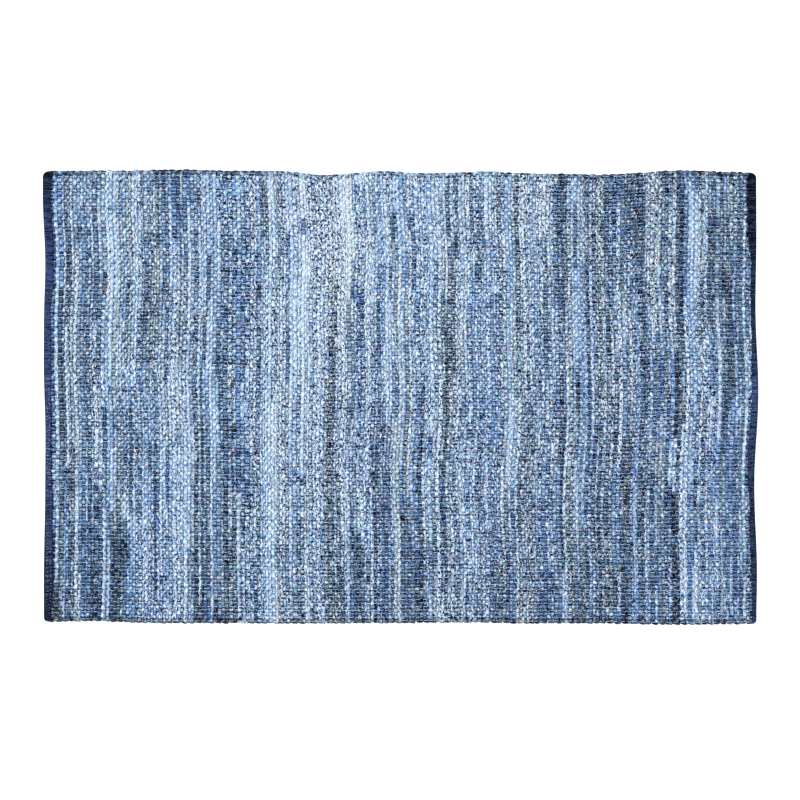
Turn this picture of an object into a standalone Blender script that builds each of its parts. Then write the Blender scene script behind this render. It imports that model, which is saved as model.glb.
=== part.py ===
"""Flat-woven denim rag rug with a folded navy tape sewn over each short end.

Blender 4.5, metres, +Z up. The rug lies on the floor with its length along X and its
width along Y. The origin is on the floor, at the middle of the rug's bounding box.

Every piece is first drawn straight, as a maker would cut it, and then laid: laid()
moves each point so that the four edges wander the way the finished rug's edges do.
"""

import math

import bmesh
import bpy

MM = 0.001

# Driving sizes
LENGTH = 1524 * MM
WIDTH = 970 * MM
THICKNESS = 7 * MM  # rag strip over warp over rag strip
SELVEDGE_RADIUS = 2.6 * MM  # the strips turn back round the outermost warps
TAPE_SHOWS = 18 * MM  # width of the end tape on each face of the rug
TAPE_THICKNESS = 1.0 * MM
TAPE_SHORT_BY = 1.5 * MM  # the tape stops this far inside each long edge
TAPE_CORNER = 8 * MM
TAPE_FOLD_RADIUS = 1.8 * MM
CLEARANCE = 0.3 * MM  # between two pieces that touch
STEP = 24 * MM  # longest straight run along an edge
ARC_STEPS = 4
RIM_STEPS = 2
CUTTER_OVERRUN = 12 * MM

# How far each edge lies inside the straight-cut outline, in millimetres. "along" is
# measured from the rug's middle, on the length for the two sides and on the width for
# the two ends.
BACK_SIDE = [
    {"along": -762, "inset": 3.0},
    {"along": -600, "inset": 2.0},
    {"along": -455, "inset": 0.0},
    {"along": -330, "inset": 2.8},
    {"along": -250, "inset": 3.4},
    {"along": -160, "inset": 11.3},
    {"along": -30, "inset": 3.2},
    {"along": 55, "inset": 8.0},
    {"along": 185, "inset": 4.4},
    {"along": 310, "inset": 8.6},
    {"along": 440, "inset": 10.2},
    {"along": 605, "inset": 1.6},
    {"along": 762, "inset": 6.0},
]
FRONT_SIDE = [
    {"along": -762, "inset": 5.6},
    {"along": -680, "inset": 7.5},
    {"along": -500, "inset": 3.3},
    {"along": -200, "inset": 2.3},
    {"along": 180, "inset": 4.6},
    {"along": 270, "inset": 2.0},
    {"along": 330, "inset": 3.0},
    {"along": 650, "inset": 0.0},
    {"along": 762, "inset": 1.8},
]
LEFT_END = [
    {"along": -485, "inset": 2.6},
    {"along": -400, "inset": 2.4},
    {"along": -200, "inset": 5.3},
    {"along": -90, "inset": 5.9},
    {"along": 70, "inset": 2.3},
    {"along": 160, "inset": 2.6},
    {"along": 285, "inset": 5.5},
    {"along": 440, "inset": 0.0},
    {"along": 485, "inset": 1.0},
]
RIGHT_END = [
    {"along": -485, "inset": 4.4},
    {"along": -383, "inset": 2.8},
    {"along": -185, "inset": 8.6},
    {"along": 15, "inset": 0.0},
    {"along": 200, "inset": 6.1},
    {"along": 350, "inset": 4.2},
    {"along": 485, "inset": 4.6},
]

DENIM = {"colour": (0.20, 0.30, 0.43), "roughness": 0.92}
NAVY = {"colour": (0.022, 0.032, 0.085), "roughness": 0.85}


def clear_scene():
    for thing in list(bpy.data.objects):
        bpy.data.objects.remove(thing, do_unlink=True)


def eased(table, along):
    """The table's inset at a place along its edge, in metres, with smooth rises between rows."""
    place = min(max(along / MM, table[0]["along"]), table[-1]["along"])
    for low, high in zip(table, table[1:]):
        if place <= high["along"]:
            share = (place - low["along"]) / (high["along"] - low["along"])
            rise = (1 - math.cos(math.pi * share)) / 2
            return (low["inset"] + rise * (high["inset"] - low["inset"])) * MM
    return table[-1]["inset"] * MM


def laid(x, y):
    """Where a point of the straight-cut rug lies once its edges wander."""
    to_right = 0.5 + x / LENGTH
    to_back = 0.5 + y / WIDTH
    moved_x = x + (1 - to_right) * eased(LEFT_END, y) - to_right * eased(RIGHT_END, y)
    moved_y = y + (1 - to_back) * eased(FRONT_SIDE, x) - to_back * eased(BACK_SIDE, x)
    return moved_x, moved_y


def straight_run(start, end):
    """Points from start up to but not including end, no more than STEP apart."""
    count = max(1, math.ceil(math.dist(start, end) / STEP))
    return [
        tuple(a + (b - a) * i / count for a, b in zip(start, end)) for i in range(count)
    ]


def outline(x_low, x_high, y_half, round_left=0.0, round_right=0.0):
    """A straight-cut strip, counter-clockwise, with its left or right corners rounded."""
    corners = [
        (x_high, y_half, round_right, 0),
        (x_low, y_half, round_left, 90),
        (x_low, -y_half, round_left, 180),
        (x_high, -y_half, round_right, 270),
    ]
    arcs = []
    for corner_x, corner_y, radius, first_angle in corners:
        if radius == 0:
            arcs.append([(corner_x, corner_y)])
            continue
        centre_x = corner_x - math.copysign(radius, corner_x - (x_low + x_high) / 2)
        centre_y = corner_y - math.copysign(radius, corner_y)
        angles = [math.radians(first_angle + 90 * i / ARC_STEPS) for i in range(ARC_STEPS + 1)]
        arcs.append(
            [(centre_x + radius * math.cos(a), centre_y + radius * math.sin(a)) for a in angles]
        )
    points = []
    for arc, following in zip(arcs, arcs[1:] + arcs[:1]):
        points += arc[:-1]
        points += straight_run(arc[-1], following[0])
    return points


def slab(name, points, z_low, z_high, rim=0.0, rim_here=None):
    """A flat plate with that outline. rim rounds the top and bottom edges where rim_here allows it."""
    shape = bmesh.new()
    base = shape.faces.new([shape.verts.new((x, y, z_low)) for x, y in points])
    grown = bmesh.ops.extrude_face_region(shape, geom=[base])
    raised = [v for v in grown["geom"] if isinstance(v, bmesh.types.BMVert)]
    bmesh.ops.translate(shape, verts=raised, vec=(0, 0, z_high - z_low))
    bmesh.ops.recalc_face_normals(shape, faces=shape.faces)
    if rim:
        level = [e for e in shape.edges if e.verts[0].co.z == e.verts[1].co.z]
        rims = [e for e in level if rim_here(e.verts[0].co) and rim_here(e.verts[1].co)]
        bmesh.ops.bevel(
            shape,
            geom=rims,
            offset=rim,
            segments=RIM_STEPS,
            profile=0.5,
            affect="EDGES",
            clamp_overlap=True,
        )
    for vertex in shape.verts:
        vertex.co.x, vertex.co.y = laid(vertex.co.x, vertex.co.y)
    mesh = bpy.data.meshes.new(name)
    shape.to_mesh(mesh)
    shape.free()
    made = bpy.data.objects.new(name, mesh)
    bpy.context.scene.collection.objects.link(made)
    return made


def helper(made):
    """Marks a solid that only cuts or joins another."""
    made.hide_render = True
    made.display_type = "WIRE"
    return made


def combine(target, other, operation):
    change = target.modifiers.new(operation.lower(), "BOOLEAN")
    change.operation = operation
    change.object = other
    change.solver = "EXACT"


def finish_in(made, name, look):
    material = bpy.data.materials.new(name)
    material.use_nodes = True
    shader = material.node_tree.nodes["Principled BSDF"]
    shader.inputs["Base Color"].default_value = (*look["colour"], 1)
    shader.inputs["Roughness"].default_value = look["roughness"]
    shader.inputs["Metallic"].default_value = 0
    made.data.materials.append(material)


def pressed_end_outline(grow=0.0, x_low=None, x_high=None):
    """The thinner weave inside the two tapes, as one strip from end to end."""
    inset = TAPE_THICKNESS + CLEARANCE - grow
    reach = LENGTH / 2 - inset
    radius = TAPE_CORNER - inset
    left_cut = x_low is not None
    right_cut = x_high is not None
    return outline(
        x_low if left_cut else -reach,
        x_high if right_cut else reach,
        WIDTH / 2 - TAPE_SHORT_BY - inset,
        round_left=0.0 if left_cut else radius,
        round_right=0.0 if right_cut else radius,
    )


def woven_field():
    """The weave: full thickness between the tapes, and pressed thin where they grip it."""
    half = LENGTH / 2 - TAPE_SHOWS - CLEARANCE
    field = slab(
        "woven_field",
        outline(-half, half, WIDTH / 2),
        0,
        THICKNESS,
        rim=SELVEDGE_RADIUS,
        rim_here=lambda point: abs(abs(point.y) - WIDTH / 2) < CLEARANCE,
    )
    press = TAPE_THICKNESS + CLEARANCE
    ends = helper(slab("pressed_ends", pressed_end_outline(), press, THICKNESS - press))
    combine(field, ends, "UNION")
    finish_in(field, "denim_rag_weave", DENIM)


def end_tape(name, side):
    """A tape folded over one short end, its two ends turned in. side is -1 left, 1 right."""
    outer = side * LENGTH / 2
    inner = outer - side * TAPE_SHOWS
    half_width = WIDTH / 2 - TAPE_SHORT_BY
    rounds = {"round_left": TAPE_CORNER} if side < 0 else {"round_right": TAPE_CORNER}
    tape = slab(
        name,
        outline(min(outer, inner), max(outer, inner), half_width, **rounds),
        0,
        THICKNESS,
        rim=TAPE_FOLD_RADIUS,
        rim_here=lambda point: abs(point.x - inner) > CLEARANCE
        or abs(point.y) > half_width - CLEARANCE,
    )
    past = inner - side * CUTTER_OVERRUN
    cut = {"x_high": past} if side < 0 else {"x_low": past}
    pocket = helper(
        slab(
            name + "_pocket",
            pressed_end_outline(grow=CLEARANCE, **cut),
            TAPE_THICKNESS,
            THICKNESS - TAPE_THICKNESS,
        )
    )
    combine(tape, pocket, "DIFFERENCE")
    finish_in(tape, name + "_cotton", NAVY)


clear_scene()
woven_field()
end_tape("end_tape_left", -1)
end_tape("end_tape_right", 1)
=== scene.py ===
import math
import bpy
import numpy as np
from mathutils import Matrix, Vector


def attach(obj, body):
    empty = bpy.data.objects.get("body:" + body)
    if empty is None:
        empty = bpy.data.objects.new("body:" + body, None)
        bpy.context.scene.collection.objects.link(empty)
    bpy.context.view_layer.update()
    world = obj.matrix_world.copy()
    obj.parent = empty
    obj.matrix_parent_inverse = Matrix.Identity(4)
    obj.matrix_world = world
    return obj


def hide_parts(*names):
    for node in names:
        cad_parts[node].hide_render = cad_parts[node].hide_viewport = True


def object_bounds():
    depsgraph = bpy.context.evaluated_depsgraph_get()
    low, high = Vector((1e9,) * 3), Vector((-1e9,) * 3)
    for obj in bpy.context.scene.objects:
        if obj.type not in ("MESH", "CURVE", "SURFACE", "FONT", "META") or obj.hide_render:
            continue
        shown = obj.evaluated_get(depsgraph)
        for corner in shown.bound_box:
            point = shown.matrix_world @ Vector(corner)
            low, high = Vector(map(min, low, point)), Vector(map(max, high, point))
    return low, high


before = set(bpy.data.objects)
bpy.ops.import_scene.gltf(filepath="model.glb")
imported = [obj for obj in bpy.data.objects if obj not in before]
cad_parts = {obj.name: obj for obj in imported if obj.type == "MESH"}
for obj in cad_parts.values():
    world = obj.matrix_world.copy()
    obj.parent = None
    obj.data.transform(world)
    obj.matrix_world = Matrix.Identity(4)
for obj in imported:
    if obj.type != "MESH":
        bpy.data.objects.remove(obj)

# A flat-woven rag rug: one long denim strip goes back and forth over cotton cords,
# and a folded navy tape is sewn over each short end. Metres, +X along the rug's length,
# +Y towards its back edge.

mm = 0.001
cadLow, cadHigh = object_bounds()
rugLength = cadHigh.x - cadLow.x
rugWidth = cadHigh.y - cadLow.y
rugHigh = cadHigh.z - cadLow.z
middle = cadLow.z + rugHigh / 2


# the rug's own outline, read from the frame
uprightShare = 0.27     # of the rug's height: what stands upright in a rounded edge
edgeDepth = 16 * mm     # how far in from the outermost place an edge's points are looked for
cornersLeft = 13 * mm   # left out at both ends of a tape's outer edge, where its corners are rounded


def pointsOf(node):
    # every corner of a CAD node, as rows of x, y, z
    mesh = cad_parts[node].data
    places = np.zeros(len(mesh.vertices) * 3, np.float32)
    mesh.vertices.foreach_get("co", places)
    return places.reshape(-1, 3).astype(float)


def edgeLine(node, along, out, side):
    # the upright part of a rounded edge: where each place along it lies, sorted for np.interp
    points = pointsOf(node)
    reach = side * points[:, out]
    upright = abs(points[:, 2] - middle) < uprightShare * rugHigh
    outermost = reach > reach.max() - edgeDepth
    clearOfCorners = abs(points[:, along]) < abs(points[:, along]).max() - cornersLeft * (out == 0)
    kept = points[upright & outermost & clearOfCorners]
    kept = kept[np.argsort(kept[:, along])]
    return kept[:, along], kept[:, out]


backLine = edgeLine("woven_field", 0, 1, 1)
frontLine = edgeLine("woven_field", 0, 1, -1)
leftLine = edgeLine("end_tape_left", 1, 0, -1)
rightLine = edgeLine("end_tape_right", 1, 0, 1)


def laid(x, y):
    # straight-cut place to laid place: opposite edges' own lines, mixed by how near each one is
    toRight = 0.5 + x / rugLength
    toBack = 0.5 + y / rugWidth
    laidX = (1 - toRight) * np.interp(y, *leftLine) + toRight * np.interp(y, *rightLine)
    laidY = (1 - toBack) * np.interp(x, *frontLine) + toBack * np.interp(x, *backLine)
    return laidX, laidY


# meshes from arrays


def evenRing(count, flat=0.0, turn=0.0):
    # a ring of corners at even angles: (cos a, sin a), the sine raised to 1 - flat to square it up
    angles = 2 * math.pi * np.arange(count) / count + turn
    ring = np.stack([np.cos(angles), np.sin(angles)], axis=1)
    ring[:, 1] = np.sign(ring[:, 1]) * np.abs(ring[:, 1]) ** (1 - flat)
    return ring


def carried(paths, wide, high, ring):
    # a ring carried along paths: path + side * wide * ring x + up * high * ring y,
    # where side is level and square to the run, and up is square to both
    run = np.gradient(paths, axis=1)
    run /= np.maximum(np.linalg.norm(run, axis=2, keepdims=True), 1e-9)
    side = np.stack([run[:, :, 1], -run[:, :, 0], np.zeros(run.shape[:2])], axis=2)
    side /= np.maximum(np.linalg.norm(side, axis=2, keepdims=True), 1e-9)
    up = np.cross(side, run)
    across = wide[:, :, None, None] * ring[None, None, :, 0, None]
    above = high[:, :, None, None] * ring[None, None, :, 1, None]
    return paths[:, :, None] + side[:, :, None] * across + up[:, :, None] * above


def tubeFaces(count, rows, corners):
    # four-sided faces between neighbouring rings of each tube, and a cap on both its ends
    tube, row, corner = np.meshgrid(
        np.arange(count), np.arange(rows - 1), np.arange(corners), indexing="ij"
    )
    first = (tube * rows + row) * corners
    following = (corner + 1) % corners
    quads = np.stack(
        [first + corner, first + corners + corner, first + corners + following, first + following],
        axis=-1,
    ).reshape(-1, 4)
    starts = np.arange(count)[:, None] * rows * corners + np.arange(corners)
    ends = starts[:, ::-1] + (rows - 1) * corners
    return quads, np.concatenate([starts, ends])


def tubeMap(count, rows, corners, perLine, columns=1):
    # a bake map: perLine ring steps of a tube fill one box of a grid that is columns wide, and a
    # face's own cell in it is one step long and one side of the ring high, so no side faces
    # overlap; the caps, which never show, share one tiny cell in the map's corner
    tube, row, corner = np.meshgrid(
        np.arange(count), np.arange(rows - 1), np.arange(corners), indexing="ij"
    )
    stretches = math.ceil((rows - 1) / perLine)
    box = tube * stretches + row // perLine
    lines = math.ceil(count * stretches / columns)
    gap = 0.04      # share of a box that is left free around it
    edge = 0.06     # the same above and below it, in cells
    left = (box % columns + gap / 2 + (1 - gap) * (row % perLine) / perLine) / columns
    right = left + (1 - gap) / perLine / columns
    low = (box // columns + (corner + edge) / (corners + 2 * edge)) / lines
    high = (box // columns + (corner + 1 + edge) / (corners + 2 * edge)) / lines
    cells = np.stack(
        [np.stack(pair, -1) for pair in ((left, low), (right, low), (right, high), (left, high))],
        axis=-2,
    ).reshape(-1, 2)
    angles = 2 * math.pi * np.arange(corners) / corners
    capCell = 0.0006 + 0.0004 * np.stack([np.cos(angles), np.sin(angles)], -1)
    return np.concatenate([cells, np.tile(capCell, (2 * count, 1))])


def tubesFrom(name, points, shades, places, perLine, columns=1):
    # a mesh of closed tubes; points, shades and places (the strand's own coordinates) are all of
    # the shape (tubes, rings, corners, values), and shades are linear colours or those and a roughness
    quads, caps = tubeFaces(*points.shape[:3])
    mesh = bpy.data.meshes.new(name)
    mesh.vertices.add(points.size // 3)
    mesh.vertices.foreach_set("co", points.astype(np.float32).ravel())
    corners = np.concatenate([quads.ravel(), caps.ravel()]).astype(np.int32)
    starts = np.concatenate(
        [np.arange(len(quads)) * 4, quads.size + np.arange(len(caps)) * caps.shape[1]]
    )
    mesh.loops.add(len(corners))
    mesh.loops.foreach_set("vertex_index", corners)
    mesh.polygons.add(len(starts))
    mesh.polygons.foreach_set("loop_start", starts.astype(np.int32))
    mesh.polygons.foreach_set("use_smooth", np.ones(len(starts), bool))
    mesh.update(calc_edges=True)
    bakeMap = tubeMap(*points.shape[:3], perLine, columns)
    layer = mesh.uv_layers.new(name="OFBake")
    layer.uv.foreach_set("vector", bakeMap.astype(np.float32).ravel())
    colours = np.ones((*shades.shape[:3], 4))
    colours[..., :shades.shape[3]] = shades
    colours[..., :3] = np.clip(colours[..., :3], 0, 1)
    shadeData = mesh.attributes.new("shade", "FLOAT_COLOR", "POINT")
    shadeData.data.foreach_set("color", colours.astype(np.float32).ravel())
    strandData = mesh.attributes.new("strand", "FLOAT_VECTOR", "POINT")
    strandData.data.foreach_set("vector", places.astype(np.float32).ravel())
    made = bpy.data.objects.new(name, mesh)
    bpy.context.scene.collection.objects.link(made)
    return made


# colours, from 0 to 255 as shown on a screen wherever they are written as whole numbers


def linear(colour):
    # a screen's colour to linear light: share / 12.92 when dark, else a power of 2.4
    share = np.asarray(colour, float) / 255
    return np.where(share <= 0.04045, share / 12.92, ((share + 0.055) / 1.055) ** 2.4)


denim = {
    # each dye from its darkest, which dark rags and the painted shade of folds and hollows reach, to
    # its bleached face
    "bright": [
        (0, 10, 50), (2, 32, 94), (16, 64, 138), (46, 102, 176), (84, 138, 204),
        (120, 170, 224), (154, 194, 234), (182, 208, 237), (204, 220, 236),
    ],
    "common": [
        (0, 14, 44), (2, 38, 86), (20, 69, 124), (52, 106, 161), (90, 140, 192),
        (127, 170, 215), (160, 194, 229), (186, 209, 232), (206, 221, 237),
    ],
    "grey": [
        (0, 12, 34), (2, 34, 62), (24, 64, 94), (58, 98, 130), (98, 132, 158),
        (136, 164, 184), (168, 188, 202), (191, 205, 214), (208, 217, 222),
    ],
}


def shadeOf(tone, dye):
    # tone 0 to 1 along a dye; dye -1 is the bright blue, 0 the common one and 1 the grey one
    steps = np.linspace(0, 1, len(denim["common"]))
    place = np.clip(tone, 0, 1)
    found = []
    for channel in range(3):
        bright, common, grey = (
            np.interp(place, steps, linear(denim[k])[:, channel]) for k in ("bright", "common", "grey")
        )
        towards = np.where(dye < 0, bright, grey)
        found.append(common + np.clip(abs(dye), 0, 1) * (towards - common))
    return np.stack(found, axis=-1)


# the end tapes' inner edges, which also say where the weave is pressed thin

tape = {
    # stations in mm across the rug, from the front edge to the back one, and how far each tape
    # reaches over the rug there, in mm
    "stations": [-485, -460, -430, -390, -350, -310, -270, -230, -190, -150, -110, -60,
                 -10, 40, 90, 140, 190, 240, 290, 340, 390, 430, 460, 485],
    "left": [17, 17, 19, 21, 20, 18, 17, 17, 16, 14, 12, 13,
             15, 16, 17, 16, 14, 19, 18, 19, 19, 18, 20, 21],
    "right": [9, 10, 11, 12, 13, 14, 13, 12, 13, 16, 17, 17,
              14, 15, 13, 11, 11, 12, 11, 18, 20, 21, 20, 18],
    "wobble": 0.8 * mm,         # how unevenly that edge was folded
    "frontCorner": 8 * mm,      # radius of the outer corner at the front edge
    "backCorner": 12.5 * mm,    # the same at the back edge
    "shortBy": 1.5 * mm,        # from the selvedge to the tape's end
    "fold": 2.4 * mm,           # how round the fold over the rug's end is
    "thick": 1.1 * mm,
    "width": 42 * mm,           # before it is folded
    "ribPitch": 5.8 * mm,
    "ribHigh": 0.22 * mm,       # from the tape's face to a rib's top
    "unevenTop": 0.1 * mm,
    "sewnAt": 0.74,             # share of the reach where the sewing pulls the tape down
    "stitchLow": 0.45 * mm,     # how deep it pulls
    "samples": 541,             # sections along the tape between its corners
}


def tapeReach(y, side):
    # how far in from the end a tape covers at y: the stations, plus half the sum of three sines
    reach = np.interp(y / mm, tape["stations"], tape["left" if side < 0 else "right"]) * mm
    wobble = np.sin(y / 0.0061 + side) + np.sin(y / 0.0143 + 2.0 * side) + np.sin(y / 0.0031)
    return reach + tape["wobble"] * wobble / 2


# the weave

weave = {
    "picks": 214,               # rag strips across the rug
    "warps": 127,               # cotton cords along it
    "bands": 5,                 # pieces that the long strip is made in
    "seed": 12,
    "unevenStrips": 0.23,       # share by which neighbouring strips differ in width
    "widthsKept": (0.66, 1.55),
    "endStrips": 0.8,           # width of the two strips nearest to each end
    "endsFree": 6 * mm,         # what the strips leave of the rug's length
    "unevenCords": 0.35 * mm,
    "stripHigh": 2.5 * mm,      # thickness of a crumpled strip
    "halfWide": 0.53,           # half of a strip's width, as a share of its spacing
    "narrower": 0.01,           # how much less it is over and under a cord
    "heavyShare": 0.04,         # share of the beads that swell or stand up a good deal
    "unevenWide": 0.09,         # share by which its width changes from bead to bead
    "wideKept": (0.92, 1.5),
    "thicker": 0.5,             # how much thicker a strip is between the cords
    "unevenHigh": 0.18,         # share by which its thickness changes
    "highKept": (0.6, 1.9),
    "topLift": 0.4 * mm,        # how unevenly the beads stand up on the face
    "underLift": 0.15 * mm,     # the same on the underside
    "crumple": 0.39 * mm,       # how far a strip's folds stand out
    "proudMost": 2.2 * mm,      # how far they may stand over the rug's thickness
    "weavers": 0.6 * mm,        # how far a strip strays sideways from bead to bead
    "slide": 0.65 * mm,         # how far its beads slide along it
    "twist": 0.6 * mm,          # how far a strip's beads lean, all of them one way
    "twistMost": 1.2 * mm,
    "edgeInset": 5.4 * mm,      # from the selvedge to the outermost cord
    "turnReach": 2.7 * mm,      # how far a strip passes the outermost cord as it turns
    "unevenTurns": 0.16,        # share by which that changes from turn to turn
    "turnRise": 0.8,            # height of a turn's two sides, as a share of a bead's
    "turnWide": 2.6 * mm,       # half of the strip's width as it turns
    "turnHigh": 1.6 * mm,       # half of its thickness there
    "backLoop": 4.2 * mm,       # how far a turn along the back selvedge bulges over its neighbours
    "frontLoop": 1.7 * mm,      # the same along the front one
    "lean": 2.4 * mm,           # how far the turns along the back selvedge lean over
    "wander": 2.0 * mm,         # how far strips and cords drift off straight
    "drawnFront": 5 * mm,       # how far the tapes' front corners draw the strips' ends in
    "drawnBack": 7 * mm,        # the same at their back corners
    "drawnOver": 9 * mm,        # length of rug over which that fades
    "pressed": 3.9 * mm,        # thickness of the weave inside a tape
    "pressedOver": 4 * mm,      # length of rug over which it gets so thin
}

rng = np.random.default_rng(weave["seed"])
pickCount = weave["picks"]
warpCount = weave["warps"]

widths = 1 + weave["unevenStrips"] * rng.standard_normal(pickCount)
widths = np.clip(widths, *weave["widthsKept"])
widths[[0, 1, -2, -1]] = weave["endStrips"]
span = rugLength - weave["endsFree"]
widths *= span / widths.sum()
pickX = np.cumsum(widths) - widths / 2 - span / 2
cordY = np.linspace(-1, 1, warpCount) * (rugWidth / 2 - weave["edgeInset"])
cordY[1:-1] += weave["unevenCords"] * rng.standard_normal(warpCount - 2)


def wandered(x, y):
    # where a point of the straight weave lies: slow sines both ways, times 1 less the eighth power
    # of its distance from the middle over the half rug, then laid(); drawn pulls the last strips'
    # ends in by exp(-(distance from the end / drawnOver) squared), as the tapes' corners are round
    fadeX = 1 - np.clip(abs(2 * x / rugLength), 0, 1) ** 8
    fadeY = 1 - np.clip(abs(2 * y / rugWidth), 0, 1) ** 8
    drift = weave["wander"] * (
        np.sin(y / 0.112 + 3.1 * x) + 0.6 * np.sin(y / 0.047 + 7.0 * x + 1.3)
    )
    sway = 0.6 * weave["wander"] * (
        np.sin(x / 0.095 + 2.6 * y + 0.7) + 0.7 * np.sin(x / 0.041 + 4.0 * y)
    )
    fromEnd = np.clip(rugLength / 2 - abs(x), 0, 0.03)
    drawnMost = np.where(y < 0, weave["drawnFront"], weave["drawnBack"])
    drawn = drawnMost * np.exp(-(fromEnd / weave["drawnOver"]) ** 2)
    return laid(x + fadeX * drift, y * (1 - drawn / (rugWidth / 2)) + fadeY * sway)


def pressedShare(x, y):
    # the weave's thickness here over the rug's: 1 in the open, pressed / rugHigh inside the tapes,
    # and a straight slope between the two
    reach = np.where(x < 0, tapeReach(y, -1), tapeReach(y, 1))
    slopeEnds = rugLength / 2 - reach - weave["pressedOver"]
    into = np.clip((abs(x) - slopeEnds) / weave["pressedOver"], 0, 1)
    return 1 - into * (1 - weave["pressed"] / rugHigh)


# one row per strip: samples at each cord and midway between cords, then three round the turn;
# a strip's height over the middle goes as cos(pi * (cord number + strip number))
steps = np.arange(2 * warpCount - 1)
turnSides = np.array([0.85, 0.0, -0.85])    # from the strip that ends over to the next one
turnOuts = np.array([0.86, 1.0, 0.86])      # share of turnReach past the last cord
rowLength = len(steps) + len(turnSides)
pickIndex = np.arange(pickCount)[:, None]
goesBack = (pickIndex % 2 == 0)
stepOf = np.where(goesBack, steps[None, :], steps[::-1][None, :])
overCord = np.cos(math.pi * (stepOf / 2 + pickIndex))
overCord[abs(overCord) < 1e-9] = 0
crest = abs(overCord)


def grown(shape, rate, size):
    # noise with a heavy side: a normal draw, and at a share rate of the places up to 3 more
    return size * (rng.standard_normal(shape) + (rng.random(shape) < rate) * rng.random(shape) * 3)


stripWide = widths[:, None] * (weave["halfWide"] - weave["narrower"] * crest)
swelling = 1 + grown(crest.shape, weave["heavyShare"], weave["unevenWide"])
halfWide = stripWide * np.clip(swelling, *weave["wideKept"])
plump = 1 + weave["thicker"] * (1 - crest) + weave["unevenHigh"] * rng.standard_normal(crest.shape)
halfHigh = weave["stripHigh"] / 2 * np.clip(plump, *weave["highKept"])
rise = middle - weave["stripHigh"] / 2
# neighbouring strips stray together, so that no gap opens between them: a mean with weights
# 1, 2, 3, 2 and 1, scaled back to the spread of a single draw
astray = rng.standard_normal((pickCount + 4, len(steps)))
astray = (astray[:-4] + 2 * astray[1:-3] + 3 * astray[2:-2] + 2 * astray[3:-1] + astray[4:]) / 4.36
astray = np.where(goesBack, astray, astray[:, ::-1])
stripX = pickX[:, None] + weave["weavers"] * (astray + 0.3 * rng.standard_normal(crest.shape))
# each strip is twisted a little, so that its beads lean one way on the face
twist = weave["twist"] * np.random.default_rng(weave["seed"] + 1).standard_normal((pickCount, 1))
twist = np.clip(twist, -weave["twistMost"], weave["twistMost"])
stripX = stripX + twist * np.sin(math.pi * (stepOf / 2 + pickIndex))
stripY = np.interp(stepOf / 2, np.arange(warpCount), cordY)
stripY = stripY + weave["slide"] * rng.standard_normal(crest.shape)
onFace = grown(crest.shape, weave["heavyShare"], weave["topLift"])
underneath = weave["underLift"] * rng.standard_normal(crest.shape)
stripZ = middle + rise * overCord + np.where(overCord > 0, onFace, underneath)

# the turn: a squared half circle out past the last cord, from one side of the rug's middle to
# the other; the turns along the back edge bulge from 0.4 to 1.3 of backLoop and lean over
nextX = np.append(pickX[1:], 2 * pickX[-1] - pickX[-2])
backBulge = weave["backLoop"] * (0.4 + 0.9 * rng.random((pickCount, 1)))
loopOut = np.where(goesBack, backBulge, weave["frontLoop"])
half = (nextX - pickX)[:, None] / 2
loopWide = half + loopOut * turnOuts[None, :]
lean = np.where(goesBack, weave["lean"], 0) * turnOuts[None, :] ** 4
turnX = (pickX + nextX)[:, None] / 2 - loopWide * turnSides[None, :] + lean
edgeY = np.where(goesBack, cordY[-1], cordY[0])
outward = np.where(goesBack, 1, -1)
turnReach = weave["turnReach"] * (1 + weave["unevenTurns"] * rng.standard_normal((pickCount, 1)))
turnY = edgeY + outward * turnReach * turnOuts[None, :]
lastOver = overCord[:, -1:]
turnZ = middle + rise * weave["turnRise"] * lastOver * turnSides[None, :]
turnWide = np.full(turnX.shape, weave["turnWide"])
turnHigh = np.full(turnX.shape, weave["turnHigh"])

strip = {
    "x": np.concatenate([stripX, turnX], axis=1),
    "y": np.concatenate([stripY, turnY], axis=1),
    "z": np.concatenate([stripZ, turnZ], axis=1),
    "wide": np.concatenate([halfWide, turnWide], axis=1),
    "high": np.concatenate([halfHigh, turnHigh], axis=1),
}
share = pressedShare(strip["x"], strip["y"])
strip["z"] = middle + (strip["z"] - middle) * share
strip["high"] = strip["high"] * share

# the strips' shades

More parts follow.
